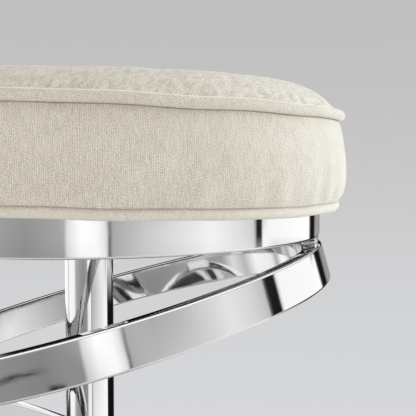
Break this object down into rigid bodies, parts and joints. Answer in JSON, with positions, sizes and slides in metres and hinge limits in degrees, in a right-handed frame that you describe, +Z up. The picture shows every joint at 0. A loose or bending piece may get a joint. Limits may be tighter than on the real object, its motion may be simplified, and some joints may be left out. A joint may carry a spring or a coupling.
{
  "type": "counter stool",
  "caption": "Round counter stool with a crowned, welted drum cushion that swivels on a zigzag stack of tilted bright steel hoops round a straight centre post.",
  "frame": {"origin": "on the floor, under the middle of the centre post", "axes": "+Z up along the post, +X towards the side where the upper hoop meets the seat hoop"},
  "size_m": [0.4206, 0.4206, 0.6314],
  "materials": {
    "hoop_chrome": "polished chrome plate on steel tube",
    "post_chrome": "polished chrome plate on steel tube",
    "zinc_steel": "zinc plated sheet steel",
    "zinc_fastener": "zinc plated",
    "ball_steel": "hardened and polished",
    "black_plate": "black powder coat",
    "glide_nylon": "moulded nylon",
    "plywood": "sanded birch plywood",
    "foam": "cut upholstery foam",
    "cover_cloth": "woven cream chenille",
    "welt_cloth": "the same cloth round a cord",
    "dust_cloth": "black non-woven dust cloth",
    "staple_wire": "galvanised wire"
  },
  "bodies": {
    "base": {"seat_ring": "hoop_chrome", "upper_hoop": "hoop_chrome", "middle_hoop": "hoop_chrome", "lower_hoop": "hoop_chrome", "base_ring": "hoop_chrome", "hoop_saddles": "hoop_chrome", "centre_post": "post_chrome", "post_top_flange": "zinc_steel", "post_foot_flange": "zinc_steel", "flange_bolts": "zinc_fastener", "foot_bell": "post_chrome", "support_plate": "black_plate", "support_lugs": "zinc_steel", "base_plate": "black_plate", "base_lugs": "zinc_steel", "lug_screws": "zinc_fastener", "floor_glides": "glide_nylon", "swivel_lower_plate": "zinc_steel", "swivel_balls": "ball_steel", "lower_plate_bolts": "zinc_fastener", "lower_plate_nuts": "zinc_fastener"},
    "seat": {"swivel_upper_plate": "zinc_steel", "pivot_pin": "ball_steel", "pivot_nut": "zinc_fastener", "seat_board_screws": "zinc_fastener", "seat_board": "plywood", "seat_foam": "foam", "boxing_band": "cover_cloth", "top_panel": "cover_cloth", "top_welt": "welt_cloth", "bottom_welt": "welt_cloth", "dust_cover": "dust_cloth", "cover_staples": "staple_wire"}
  },
  "joints": [
    {"name": "seat_swivel", "type": "hinge", "parent": "base", "child": "seat", "pos_m": [0, 0, 0.5389], "axis": [0, 0, 1], "continuous": true}
  ]
}
